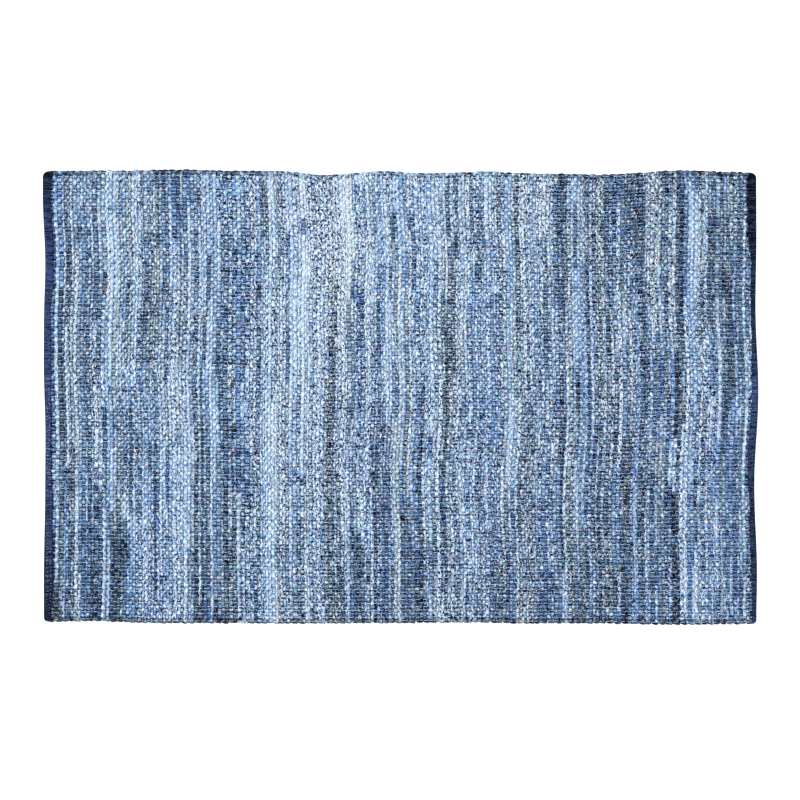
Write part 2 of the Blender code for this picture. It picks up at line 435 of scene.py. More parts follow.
tones = {
    # darker and paler zones, set every 0.1 m along the rug: back edge, middle, front edge
    "along": [-0.76, -0.66, -0.56, -0.46, -0.36, -0.26, -0.16, -0.06,
              0.04, 0.14, 0.24, 0.34, 0.44, 0.54, 0.64, 0.76],
    "back": [0.4, 0.5, 0.6, 0.5, 0.5, 0.65, 0.95, 0.8, 0.75, 0.7, 0.7, 0.6, 0.4, 0.45, 0.4, 0.35],
    "mid": [0.4, 0.5, 0.5, 0.6, 0.45, 0.7, 0.65, 0.6, 0.5, 0.5, 0.6, 0.5, 0.5, 0.45, 0.45, 0.45],
    "front": [0.35, 0.3, 0.45, 0.4, 0.3, 0.5, 0.4, 0.35, 0.3, 0.35, 0.3, 0.3, 0.3, 0.4, 0.3, 0.35],
    "spread": 0.155,            # between one rag and the next
    "beads": 0.045,             # between one bead and the next
    "folds": 0.05,              # between the folds of one bead
    "edges": 0.27,              # painted shade in the crevices between neighbouring strips: how much darker a strip's two sides are
    "paintedDepthShading": 0.66,              # painted shade inside the weave and painted light on its faces: how much darker the inside is than the faces
    "depthFrom": 0.66,          # the height, over half the rug's, at which that painted shading neither darkens nor lifts
    "selvedge": -0.28,          # the turns along both long edges are darker
    "selvedgeDye": 0.4,         # and greyer
    "dyeSpread": 0.10,          # between one bead's dye and the next
    "soiled": 0.015,            # share of the cloth that is stained towards the colour after it
    "soil": (176, 168, 152),
    "soiledMost": 0.5,
    "hue": 0.05,                # drift between a greener and a more violet blue
    "hueMost": 0.6,             # the most violet draw that is kept
    "flecks": 0.19,             # how far a fleck is off its strip's tone: the pale ones a fold's white fringe, the dark ones painted shade of a fold's hollow
    "fleckShare": 0.2,
    "reverse": 0.05,            # share of the beads that show the cloth's pale reverse
    "reversePale": 0.22,
    "reverseDark": 0.20,        # half as many beads are darker instead
    "frayed": 0.38,             # how much paler a frayed edge of a strip is
    "evened": 0.20,             # how much paler a rough rag's cloth is, to make up for the painted shade of its hollows
    "contrast": 1.58,           # the whole spread of tones about the middle one
    "lift": 0.17,
}

rags = {
    "count": 420,               # more than the long strip is joined from
    "shortest": 0.3,            # metres of strip before the next rag is joined on
    "longer": 1.3,              # how much longer it can be
    "dye": -0.1,
    "dyeSpread": 0.6,
    "dyesKept": (-0.9, 1),
    "smoothest": 0.5,           # a rag's own roughness is this much or up to rougher more,
    "rougher": 1.0,
    "roughMean": 0.85,          # times the roughness of its place, which has this mean,
    "roughSlow": 0.2,           # is this much higher at roughestAt and lower 0.9 m from there,
    "roughestAt": 0.15,
    "roughPatchy": 0.15,        # and changes this much from patch to patch
    "roughKept": (0.3, 1.15),
    "frays": 3000,              # more than the stretches of strip that can fray
    "frayShortest": 0.02,
    "frayLonger": 0.20,
    "frayShare": 0.24,          # share of those stretches that are frayed
    "sides": 6,                 # corners of a strip's section
    "flat": 0.35,               # how square the section is
    "shoulders": 1.36,          # times as far out that its upper and lower corners are pulled
}

# broad fields, in the same units as the strips after them: the cloth of a field was cut from
# garments of one shade, so its strips lean towards a common tone and dye
fields = [
    (-590, 50, 480, 0, 0.68, -0.2), (-535, 34, 480, 80, 0.28, 1.0), (-490, 40, 420, 190, 0.42, -0.9),
    (-467, 36, 210, -480, 0.68, -0.2), (-430, 30, 480, 320, 0.36, -0.5),
    (-385, 26, 480, 350, 0.82, -0.3), (-398, 34, 480, 20, 0.86, 0.0), (-364, 26, 480, 260, 0.64, -0.3),
    (-350, 50, 480, 40, 0.44, -0.2), (-290, 50, 120, -120, 0.76, 0.1),
    (-160, 110, 480, 300, 0.92, -0.1), (-280, 30, 480, 20, 0.74, 0.0), (-120, 44, 480, 170, 1.3, 0.0),
    (-80, 34, 400, -120, 0.74, -0.1), (-225, 70, 200, -180, 0.68, 0.1), (-60, 14, 480, 410, 0.46, 0.2),
    (-40, 34, 420, 310, 0.98, 0.1), (60, 60, 480, 60, 0.72, 0.2), (2, 34, 180, -480, 0.32, 0.1),
    (112, 20, 480, 340, 0.30, 0.1), (150, 22, 480, 380, 0.72, 0.0), (100, 30, 200, -110, 0.30, 0.7),
    (80, 26, 90, -120, 0.40, 0.2), (84, 30, -420, -480, 0.26, 0.3), (195, 80, 450, 190, 0.64, 0.3),
    (165, 60, 60, -150, 0.56, 0.1), (236, 40, 110, -200, 0.68, 0.6), (316, 34, 480, 200, 0.96, 0.3),
    (345, 30, 480, 200, 0.36, 0.0), (412, 60, 480, 290, 0.52, 1.0), (350, 60, 190, 90, 0.66, 0.2),
    (488, 36, 480, 340, 0.32, 0.9), (545, 50, 0, -140, 0.64, 0.1), (240, 30, 160, 60, 0.8, 0.5),
    (452, 80, 290, -20, 0.54, 1.0), (402, 28, 400, 60, 0.66, 0.5), (402, 30, -260, -440, 0.56, 0.5),
    (542, 56, 160, -10, 0.36, 0.3), (582, 40, 420, 150, 0.62, 0.0), (604, 26, 110, -60, 0.62, 0.3),
    (-562, 28, 90, -80, 0.62, 0.0), (636, 22, 380, -60, 0.64, 0.3), (690, 50, 480, 0, 0.30, 0.9),
    (680, 30, 380, 180, 0.10, 0.3), (650, 34, 480, -60, 0.34, 0.6), (742, 20, 400, -480, 0.58, 0.8),
    (-612, 40, -280, -420, 0.24, -0.2), (-585, 40, -190, -260, 0.66, -0.3),
    (-560, 56, -270, -480, 0.64, -0.4), (-520, 30, -220, -480, 0.30, -0.4),
    (-640, 34, 480, 390, 0.40, 0.0), (-600, 60, -10, -190, 0.46, -0.6),
    (-424, 34, -40, -480, 0.34, 1.0), (-396, 30, 20, -440, 0.86, 0.0), (-440, 26, 180, 80, 0.60, 0.0),
    (-352, 60, -60, -260, 0.24, 0.1), (-345, 46, -260, -480, 0.38, 0.3),
    (-320, 30, 190, -20, 0.42, 0.0), (-290, 34, -100, -480, 0.70, 0.3),
    (-242, 50, -300, -480, 0.40, 0.7), (-190, 40, -200, -480, 0.66, 0.0),
    (-147, 36, 30, -480, 0.48, 0.7), (-100, 34, -250, -480, 0.26, 0.1), (-82, 26, -90, -300, 0.74, 0.0),
    (-38, 34, -50, -310, 0.24, 0.1), (38, 76, -240, -480, 0.24, 1.0), (44, 50, 120, -340, 0.70, 0.5),
    (185, 70, 190, 60, 0.62, 0.4), (102, 28, -110, -250, 0.30, 0.1), (102, 34, -340, -430, 0.30, 0.1),
    (152, 30, -250, -400, 0.62, 0.0), (192, 60, -150, -450, 0.47, 0.0),
    (272, 60, -190, -480, 0.28, 0.6), (320, 30, -40, -180, 0.70, 0.3), (282, 36, 80, -220, 0.36, 0.3),
    (370, 44, 80, -60, 0.30, 0.7), (380, 44, -290, -480, 0.22, 0.9), (452, 54, -340, -480, 0.20, 1.0),
    (432, 60, -100, -340, 0.36, 0.5), (542, 90, -240, -480, 0.43, -0.4),
    (522, 24, -120, -190, 0.16, 0.1), (602, 18, -140, -400, 0.64, -0.2),
    (640, 50, -60, -480, 0.26, -0.1), (650, 60, -100, -300, 0.46, -0.1),
    (712, 60, -140, -300, 0.44, 0.3), (660, 80, -390, -480, 0.48, 0.7),
    (-640, 40, -200, -350, 0.42, 0.1), (-690, 60, 280, 120, 0.42, 0.2),
    (-642, 40, 300, 160, 0.34, -0.1), (-680, 60, -300, -480, 0.14, 0.1),
    (-665, 60, 180, -40, 0.38, 0.2),
]

# strips that stand out: place along the rug and width, then from and to across it, all in mm,
# and their tone and dye
stripsThatShow = [
    (-737, 9, 400, -400, 0.74, 0.1), (-725, 13, 110, -200, 0.26, 0.8), (-705, 12, 90, -260, 0.36, 0.7),
    (-695, 20, 360, 330, 0.22, 0.2), (-672, 8, 250, 60, 0.36, 0.6), (-665, 7, -300, -470, 0.30, -0.4),
    (-655, 8, 170, -130, 0.74, 0.2), (-636, 9, 270, 200, 0.16, -0.1), (-641, 8, 200, 20, 0.18, -0.2),
    (-634, 9, 0, -230, 0.22, 0.0), (-615, 16, 480, 200, 0.68, 0.0), (-617, 12, 40, -110, 0.28, -0.3),
    (-620, 9, -350, -480, 0.22, -0.4), (-604, 8, -250, -480, 0.12, 0.5),
    (-597, 8, -280, -360, 0.10, 0.5), (-588, 9, -300, -355, 0.14, 0.3),
    (-590, 8, -110, -190, 0.20, -0.2), (-585, 14, -205, -265, 0.82, 0.2),
    (-576, 7, -10, -250, 0.24, 0.5), (-560, 7, -10, -150, 0.26, 0.4), (-556, 14, 400, 180, 0.70, 0.0),
    (-547, 8, 260, 130, 0.22, 0.3), (-540, 9, -95, -190, 0.16, 0.3), (-536, 12, 260, 0, 0.42, 0.9),
    (-525, 7, 460, 280, 0.74, 0.9), (-518, 9, 480, 330, 0.20, 0.6), (-506, 12, 480, 400, 0.22, 0.3),
    (-514, 7, 50, -380, 0.84, 0.3), (-499, 10, 200, -20, 0.28, -0.8), (-497, 8, -90, -250, 0.28, -0.5),
    (-478, 12, 480, 340, 0.30, -0.3), (-465, 9, 420, 280, 0.30, -0.3), (-476, 7, 180, 120, 0.20, 0.3),
    (-452, 8, 400, 190, 0.84, 0.2), (-462, 22, 60, -300, 0.74, 0.0), (-450, 8, -300, -470, 0.26, 0.1),
    (-428, 7, 480, 420, 0.22, 0.8), (-412, 7, 300, 170, 0.16, 0.4), (-420, 8, 175, 60, 0.10, 0.8),
    (-424, 9, 60, -480, 0.14, 0.9), (-407, 8, 190, -100, 0.84, 0.1), (-414, 7, -110, -480, 0.26, 0.3),
    (-395, 8, 20, -120, 0.72, 0.0), (-386, 8, 150, -60, 0.24, 0.2), (-372, 7, 330, 250, 0.22, 0.3),
    (-365, 22, -60, -200, 0.30, 0.1), (-351, 8, 330, 250, 0.14, 0.1), (-345, 6, 480, 340, 0.74, 0.5),
    (-352, 9, -60, -190, 0.20, 0.4), (-350, 10, -190, -300, 0.06, 0.4),
    (-343, 6, -215, -335, 0.86, 0.7), (-335, 10, 240, 40, 0.32, -0.4),
    (-330, 22, -220, -470, 0.28, 0.1), (-318, 7, -50, -130, 0.86, 0.1), (-315, 7, 450, 320, 0.80, 0.6),
    (-312, 18, 320, 180, 0.32, -0.4), (-306, 6, 230, -40, 0.26, 0.6), (-308, 7, -60, -220, 0.40, 1.0),
    (-300, 6, -220, -480, 0.32, 0.6), (-290, 14, 480, 340, 0.36, 1.0), (-280, 24, 250, 0, 0.72, 0.0),
    (-283, 15, -230, -480, 0.76, 0.1), (-258, 6, 470, 230, 0.40, 1.0), (-266, 6, 230, 40, 0.40, 1.0),
    (-260, 14, -310, -350, 0.30, 0.2), (-242, 8, 350, 40, 0.24, -0.3), (-245, 10, 30, -120, 0.58, 1.0),
    (-240, 8, -150, -320, 0.42, 1.0), (-232, 6, -400, -480, 0.62, 1.0),
    (-208, 12, 400, 350, 0.30, -0.2), (-207, 9, -165, -200, 0.10, 0.4),
    (-203, 6, -200, -320, 0.46, 1.0), (-185, 8, 480, 340, 0.48, -0.2), (-170, 7, 480, 380, 0.88, 0.1),
    (-150, 40, 480, 300, 0.72, 0.0), (-138, 7, 262, 130, 0.24, 0.4), (-147, 7, 130, 10, 0.20, 0.5),
    (-131, 7, 210, 100, 0.88, 0.1), (-147, 8, 10, -110, 0.22, 0.6), (-142, 7, -110, -300, 0.26, 0.6),
    (-148, 10, -300, -470, 0.24, 0.5), (-120, 12, -60, -350, 0.78, 0.1),
    (-103, 8, 300, 220, 0.22, -0.3), (-85, 9, 240, 100, 0.30, -1.0), (-108, 9, 0, -90, 0.26, -0.2),
    (-104, 9, -200, -310, 0.14, 0.2), (-96, 11, -270, -480, 0.18, 0.1), (-90, 6, -190, -270, 0.88, 0.1),
    (-79, 7, -200, -300, 0.88, 0.1), (-74, 9, 480, 340, 0.34, 0.0), (-70, 8, 160, 50, 0.86, 0.1),
    (-66, 7, -190, -270, 0.14, 0.3), (-55, 12, 480, 350, 0.38, 0.7), (-58, 6, -280, -480, 0.86, 0.5),
    (-68, 7, -330, -480, 0.16, 0.3), (-54, 7, -90, -200, 0.22, 1.0), (-46, 8, 200, 90, 0.22, -0.1),
    (-37, 7, 90, 10, 0.84, 0.1), (-30, 14, 480, 370, 0.82, 0.0), (-28, 12, -60, -250, 0.22, 0.2),
    (-32, 12, -330, -480, 0.28, 0.0), (-14, 10, 400, 330, 0.20, -0.1), (-8, 7, 330, 130, 0.52, 1.0),
    (12, 14, 480, 230, 0.44, -0.2), (22, 12, 400, 370, 0.20, 0.2), (26, 8, 370, 230, 0.30, -0.4),
    (42, 7, 20, -250, 0.12, 0.8), (46, 7, -250, -420, 0.12, 0.7), (35, 24, -400, -480, 0.28, 0.8),
    (66, 8, -80, -130, 0.26, -0.6), (74, 7, 300, 180, 0.34, -0.3), (58, 8, -390, -430, 0.86, 0.6),
    (100, 7, 340, 230, 0.80, 0.2), (106, 8, 480, 340, 0.18, 0.0), (114, 7, 480, 350, 0.66, 0.1),
    (123, 8, 480, 300, 0.20, 0.0), (110, 16, 330, 230, 0.30, 0.6), (108, 17, 230, 60, 0.22, 0.7),
    (97, 8, 150, -120, 0.05, 0.3), (90, 6, 80, 20, 0.74, 0.9), (88, 8, -140, -420, 0.08, 0.2),
    (96, 8, -140, -430, 0.14, -0.6), (119, 10, 30, -120, 0.86, 0.1), (118, 8, -120, -310, 0.24, -0.3),
    (129, 7, 60, -60, 0.30, -0.6), (135, 6, 200, 0, 0.64, 1.0), (141, 8, -130, -410, 0.82, 0.1),
    (158, 8, 480, 380, 0.10, 0.2), (155, 13, 380, 320, 0.26, -0.3), (166, 8, 360, 240, 0.22, 0.3),
    (176, 9, 480, 280, 0.34, 0.0), (150, 8, 140, 60, 0.28, 0.4), (205, 22, 350, -350, 0.46, -0.5),
    (224, 6, 360, -480, 0.66, 1.0), (248, 8, 480, 0, 0.50, 1.0), (252, 6, 480, 120, 0.26, 0.7),
    (265, 6, -50, -180, 0.24, 0.6), (252, 8, -140, -360, 0.70, 0.2), (296, 16, 480, 260, 0.68, 0.2),
    (308, 7, 340, 280, 0.14, 0.5), (312, 8, 230, 120, 0.22, 0.5), (275, 30, -20, -480, 0.40, 0.6),
    (326, 6, -50, -180, 0.88, 0.2), (322, 8, 10, -140, 0.28, -0.4), (350, 20, 480, 370, 0.22, 0.1),
    (348, 8, 330, 140, 0.14, -0.1), (366, 7, 50, -140, 0.60, 1.0), (378, 10, 420, 280, 0.20, 0.3),
    (377, 7, 60, -140, 0.08, 0.4), (366, 6, -240, -400, 0.30, 1.0), (385, 12, -330, -480, 0.28, 0.4),
    (403, 7, 330, -110, 0.16, 0.4), (425, 7, 440, -90, 0.44, 1.0), (418, 7, 460, 200, 0.30, 0.4),
    (440, 8, 480, 370, 0.22, 0.5), (455, 8, 460, 200, 0.34, -1.0), (463, 7, 260, 60, 0.38, -0.6),
    (479, 9, 340, 200, 0.32, 0.9), (494, 32, 480, 360, 0.18, 0.3), (494, 9, 360, 215, 0.32, -1.0),
    (507, 14, 360, 230, 0.22, 0.3), (519, 9, 70, 10, 0.20, -0.5), (489, 8, 90, 10, 0.62, 1.0),
    (487, 8, -80, -280, 0.14, 0.6), (498, 7, -320, -400, 0.12, 0.4), (451, 8, 10, -90, 0.14, 0.4),
    (450, 8, -150, -310, 0.20, 0.3), (452, 8, -310, -370, 0.56, 1.0), (458, 8, -370, -470, 0.22, 0.8),
    (465, 7, -160, -350, 0.34, -0.6), (522, 20, -120, -260, 0.24, 0.2), (548, 18, 140, -20, 0.34, -0.6),
    (546, 8, -170, -480, 0.36, -0.7), (560, 9, 390, 250, 0.30, 0.9), (580, 10, -210, -400, 0.20, -0.1),
    (582, 12, -90, -205, 0.78, 0.0), (596, 14, 340, 120, 0.32, 0.6), (637, 9, 440, 230, 0.78, 0.1),
    (654, 8, 300, 160, 0.64, 0.4), (632, 7, 30, -300, 0.18, -0.2), (645, 10, 120, -20, 0.66, 0.0),
    (660, 18, 0, -60, 0.74, 0.2), (646, 8, -60, -170, 0.32, -0.4), (650, 7, 430, 380, 0.16, 0.2),
    (668, 22, 480, 150, 0.24, 0.3), (686, 9, 480, 300, 0.34, 0.7), (704, 13, 280, 0, 0.14, 0.7),
    (691, 7, 60, -130, 0.14, 0.2), (719, 8, 480, 300, 0.42, 0.6), (727, 9, 150, 60, 0.24, 0.3),
    (726, 30, 490, 470, 0.08, 0.6), (738, 9, 480, -480, 0.68, 0.5), (733, 12, -330, -400, 0.36, -0.5),
    (710, 60, 490, 472, 0.12, 0.6), (640, 24, 490, 474, 0.16, 0.5), (560, 20, 490, 474, 0.2, 0.5),
]


def zoneTone(x, y):
    # three rows of tones along the rug, mixed by how far back or front a place is
    back, mid, front = (np.interp(x, tones["along"], tones[k]) for k in ("back", "mid", "front"))
    toBack = np.clip(y / (rugWidth / 2), -1, 1)
    return mid + np.clip(toBack, 0, 1) * (back - mid) + np.clip(-toBack, 0, 1) * (front - mid)


stepRun = rugWidth / len(steps)
runAt = (np.arange(pickCount * rowLength) * stepRun).reshape(pickCount, rowLength)
pieceEnds = np.cumsum(rags["shortest"] + rags["longer"] * rng.random(rags["count"]) ** 1.3)
pieceOf = np.searchsorted(pieceEnds, runAt)
pieceTone = tones["spread"] * rng.standard_normal(rags["count"] + 1)
pieceDye = rags["dye"] + rags["dyeSpread"] * rng.standard_normal(rags["count"] + 1)
pieceDye = np.clip(pieceDye, *rags["dyesKept"])
pieceRough = rags["smoothest"] + rags["rougher"] * rng.random(rags["count"] + 1)
beadTone = tones["beads"] * rng.standard_normal((pickCount, rowLength // 2 + 2))
beadTone += tones["reversePale"] * (rng.random(beadTone.shape) < tones["reverse"])
beadTone -= tones["reverseDark"] * (rng.random(beadTone.shape) < tones["reverse"] / 2)
beadOf = np.concatenate([(stepOf + 1) // 2, np.full(turnX.shape, rowLength // 2 + 1)], axis=1)
beads = np.take_along_axis(beadTone, beadOf.astype(int), axis=1)
stripTone = zoneTone(strip["x"], strip["y"]) + pieceTone[pieceOf]
stripDye = pieceDye[pieceOf]


def charted(rows, share, ragged, own):
    # each row's tone and dye, laid over its strips between uneven ends: tone + share * (row - base),
    # where base goes from the zone's tone (own 0, so that the strips keep their differences) to the
    # strip's own tone (own 1)
    for at, wide, fromY, toY, tone, dye in rows:
        near = abs(pickX - at * mm) <= np.maximum(wide * mm, widths * 1.01) / 2
        found = np.where(near)[0]
        starts = fromY * mm + ragged * rng.standard_normal((len(found), 1))
        ends = toY * mm + ragged * rng.standard_normal((len(found), 1))
        inside = (strip["y"][found] < starts) & (strip["y"][found] > ends)
        zone = zoneTone(strip["x"][found], strip["y"][found])
        baseTone = zone + own * (stripTone[found] - zone)
        stripTone[found] += share * inside * (tone - baseTone)
        stripDye[found] += share * inside * (dye - own * stripDye[found])


charted(fields, share=0.53, ragged=24 * mm, own=0.25)
charted(stripsThatShow, share=0.8, ragged=9 * mm, own=1)
stripTone = stripTone + pieceRough[pieceOf] * beads
stripDye = stripDye + tones["dyeSpread"] * rng.standard_normal(stripTone.shape)
# the last two samples before each turn, the turn itself and the first two after it are darker and
# greyer
turning = stepOf.shape[1] - 2
stripTone[:, turning:] += tones["selvedge"] * (0.5 + 0.8 * rng.random((pickCount, 1)))
stripDye[:, turning:] += tones["selvedgeDye"]
stripTone[:, :2] += tones["selvedge"] * 0.5

crossings = np.where(goesBack, 2 * np.arange(warpCount), 2 * np.arange(warpCount)[::-1])
toneAtCords = np.take_along_axis(stripTone, crossings, axis=1).T

# a frayed stretch shows the pale cross threads of the denim along one of the strip's edges
frayEnds = np.cumsum(rags["frayShortest"] + rags["frayLonger"] * rng.random(rags["frays"]) ** 2)
frayOf = np.searchsorted(frayEnds, runAt)
isFrayed = rng.random(rags["frays"] + 1) < rags["frayShare"]
fraySide = np.where(isFrayed, np.sign(rng.random(rags["frays"] + 1) - 0.5), 0)[frayOf]

ringSides = rags["sides"]
stripRing = evenRing(ringSides, flat=rags["flat"])
stripRing[:, 0] *= np.where(abs(stripRing[:, 0]) < 0.9, rags["shoulders"], 1)
atSides = abs(stripRing[None, :, 0]) > 0.9


def roughAt(x, y):
    # how rough the rags of a place are: a mean, plus a slow cosine along the rug that is highest
    # right of its middle, plus two crossed sines
    slow = rags["roughSlow"] * np.cos((x - rags["roughestAt"]) / 0.3)
    patchy = rags["roughPatchy"] * np.sin(x / 0.045) * np.sin(y / 0.11 + x / 0.08)
    return rags["roughMean"] + slow + patchy


def stripShades(draw, points, x, y, stretch):
    # a point's tone is its strip's own, plus fold noise, plus or less a fleck, plus painted light on
    # the faces and painted shade inside the weave, in step with its distance from the rug's middle over
    # half the rug less depthFrom, less painted shade in the crevices at the strip's two sides, plus
    # evened * (roughness - 1), plus the pale threads of a frayed edge; contrast then spreads the tones,
    # and the dye gives their colours. The fourth value is the roughness, which also scales the painted
    # shade
    count = len(points)
    corners = (count, ringSides)
    fine = draw.standard_normal(corners)
    longer = draw.standard_normal((count + 2, ringSides))
    longer = (longer[:-2] + longer[1:-1] + longer[2:]) / 1.7
    face = np.clip(abs(points[..., 2] - middle) / middle, 0, 1.15)
    rough = np.clip(pieceRough[pieceOf].ravel()[stretch] * roughAt(x, y), *rags["roughKept"])[:, None]
    tone = stripTone.ravel()[stretch, None] + tones["folds"] * (fine + 0.4 * longer)
    flecked = draw.random(corners) < tones["fleckShare"]
    # flecks: pale ones a fold's fringe, dark ones painted shade of its hollow
    tone = tone + tones["flecks"] * rough * flecked * np.sign(draw.random(corners) - 0.5)
    # painted light on the faces and painted shade inside the weave, by height
    tone = tone + tones["paintedDepthShading"] * (0.5 + 0.5 * rough) * (face - tones["depthFrom"])
    # painted shade in the crevices between neighbouring strips
    tone = tone - tones["edges"] * rough * atSides
    tone = tone + tones["evened"] * (rough - 1)
    frayed = fraySide.ravel()[stretch, None] * stripRing[None, :, 0] > 0.5
    tone = tone + tones["frayed"] * frayed * (0.5 + draw.random((count, 1)))
    tone = 0.5 + tones["lift"] + tones["contrast"] * (tone - 0.5)
    shades = shadeOf(tone, stripDye.ravel()[stretch, None] + 0 * tone)
    hue = tones["hue"] * np.minimum(draw.standard_normal((count, 1, 1)), tones["hueMost"])
    shades = shades * (1 + hue * np.array([1.0, -0.8, 0.5]))
    soiled = (draw.random((count, 1, 1)) < tones["soiled"]) * tones["soiledMost"]
    shades = shades + soiled * (linear(tones["soil"]) - shades)
    return np.concatenate([shades, rough[:, :, None] + 0 * shades[..., :1]], axis=-1)


def weftBand(index):
    # one stretch of the long strip: its section carried along its path as a closed tube, each
    # point then moved by crumple * a normal draw, less where the strip is pressed thin
    firstRow = index * pickCount // weave["bands"]
    lastRow = (index + 1) * pickCount // weave["bands"]
    low = firstRow * rowLength
    high = lastRow * rowLength + 1
    if index == weave["bands"] - 1:
        high -= 1 + len(turnSides)
    stretch = slice(low, high)
    part = {k: v.ravel()[stretch] for k, v in strip.items()}
    x, y = wandered(part["x"], part["y"])
    path = np.stack([x, y, part["z"]], axis=1)[None]
    points = carried(path, part["wide"][None], part["high"][None], stripRing)[0]
    draw = np.random.default_rng(100 + index)
    thin = np.clip(part["high"] / (weave["stripHigh"] / 2), 0, 1)[:, None, None]
    folds = draw.standard_normal(points.shape) * np.array([1.0, 1.1, 0.6])
    points = points + thin * weave["crumple"] * folds
    points[..., 2] = np.clip(points[..., 2], 0.15 * mm, rugHigh + weave["proudMost"])
    shades = stripShades(draw, points, x, y, stretch)
    row = np.arange(low, high) // rowLength
    # each row has its own place in the fibres' noise
    place = np.stack(
        [
            part["wide"][:, None] * stripRing[None, :, 0] + row[:, None] * 0.013,
            np.repeat(part["y"][:, None], ringSides, axis=1),
            part["high"][:, None] * stripRing[None, :, 1] + row[:, None] * 0.007,
        ],
        axis=-1,
    )
    name = f"rag_strip_{index + 1}"
    made = tubesFrom(name, points[None], shades[None], place[None], rowLength)
    return made, (lastRow - firstRow) * span / pickCount


# the cotton cords

cords = {
    "colour": (220, 236, 252),
    "halfWide": 0.80 * mm,
    "sides": 3,
    "swing": 1.0 * mm,          # up over a strip and down under the next
    "unevenSwing": 0.5,
    "swingKept": (0.2, 1.8),
    "unevenAcross": 0.2 * mm,
    "unevenWide": 0.12,
    "unevenTone": 0.07,
    "seenMost": 1.85,           # a thin dark strip leaves more of the cord in sight than a pale one
    "seenKept": (0.35, 1.5),
    "proud": 1.5 * mm,          # extra height of the cords that show most
    "proudAt": [0.452, 0.437, 0.422, 0.265, 0.145, 0.137, -0.105, -0.372, -0.388, -0.410],
    "mapRun": 107,              # steps of a cord in one line of its bake map
}


def cottonCords():
    # each cord: straight along the rug, up where a strip passes under it and down where one passes over
    sides = cords["sides"]
    index = np.arange(warpCount)[:, None]
    under = -np.cos(math.pi * (index + np.arange(pickCount)[None, :]))
    x = np.repeat(pickX[None, :], warpCount, axis=0)
    y = np.repeat(cordY[:, None], pickCount, axis=1)
    y = y + cords["unevenAcross"] * rng.standard_normal(x.shape)
    slack = np.clip(1 + cords["unevenSwing"] * rng.standard_normal((warpCount, 1)), *cords["swingKept"])
    proud = np.zeros((warpCount, 1))
    for place in cords["proudAt"]:
        proud[np.argmin(abs(cordY - place))] = cords["proud"]
    showing = 0.5 + 0.5 * np.sin(x / 0.13 + index * 1.7) * np.sin(x / 0.057 + index)
    seen = np.clip(cords["seenMost"] * (1 - toneAtCords), *cords["seenKept"])
    raised = cords["swing"] * slack * seen + proud * showing
    z = middle + np.where(under > 0, raised, -cords["swing"])
    z = middle + (z - middle) * pressedShare(x, y)
    laidX, laidY = wandered(x, y)
    paths = np.stack([laidX, laidY, z], axis=2)
    ring = evenRing(sides, turn=math.pi / 2)
    wide = cords["halfWide"] * (1 + cords["unevenWide"] * rng.standard_normal(x.shape))
    points = carried(paths, wide, wide, ring)
    tint = 1 + cords["unevenTone"] * rng.standard_normal((warpCount, pickCount, 1, 1))
    # dark strips leave some of their indigo on the cords
    rubbed = np.clip(0.7 + 0.5 * toneAtCords, 0.6, 1)[:, :, None, None]
    bluer = rubbed ** np.array([1.25, 1.0, 0.75])
    shades = linear(cords["colour"]) * bluer * tint * np.ones(points.shape)
    strandX = np.repeat(x[:, :, None], sides, axis=2)
    place = np.stack(
        [
            ring[None, None, :, 0] * cords["halfWide"] + index[:, :, None] * 0.011 + 0 * strandX,
            strandX,
            ring[None, None, :, 1] * cords["halfWide"] + 0 * strandX,
        ],
        axis=-1,
    )
    return tubesFrom("cotton_cords", points, shades, place, cords["mapRun"])


# the end tapes

tapeTones = {
    # stations in mm across the rug, and how bright each tape is there
    "stations": [-485, -400, -300, -200, -100, 0, 100, 200, 300, 400, 485],
    "left": [0.15, 0.4, 0.65, 0.85, 1.0, 1.0, 0.95, 0.95, 1.0, 0.65, 0.2],
    "right": [0.75, 0.5, 0.3, 0.35, 0.6, 1.15, 0.5, 0.32, 0.2, 0.1, 0.05],
    "navy": (48, 67, 103),
    "innerEdgeShade": (0.95, 0.5, 1.4),       # painted shade along the tape's inner edge against the weave, darker and tinted violet
    "patches": 0.10,            # how much its brightness changes along it
    "ribs": 0.05,               # and from rib to rib
    "grain": 0.08,
    "seed": 31,
    "mapRun": 167,              # steps of a tape in one line of its bake map
}

# the tape's section on its upper face, from the inner edge out: share of its reach, and height
upperShare = np.array([1.0, 0.97, 0.88, 0.78, 0.68, 0.54, 0.40, 0.27, 0.17])
upperHigh = np.array([6.0, 6.7, 6.95, 6.7, 7.0, 7.1, 7.05, 7.0, 6.9]) * mm
foldAngles = np.radians([58, 22, -22, -58])
# its inside, from the inner edge of the lower face in to the fold and back out under the upper one
innerShare = np.array([0.97, 0.62, 0.12, 0.12, 0.62, 0.97])
innerIsLow = np.array([True, True, True, False, False, False])


def tapeAlong():
    # places across the rug where the tape's section stands: close together round both corners,
    # where they go as 1 - sin, and even between them
    half = rugWidth / 2 - tape["shortBy"]
    front, back = tape["frontCorner"], tape["backCorner"]
    middlePart = np.linspace(front - half, half - back, tape["samples"])
    arc = 1 - np.sin(np.linspace(0.08, 1, 12) * math.pi / 2)
    return half, np.concatenate([front * arc[::-1] - half, middlePart, half - back * arc])


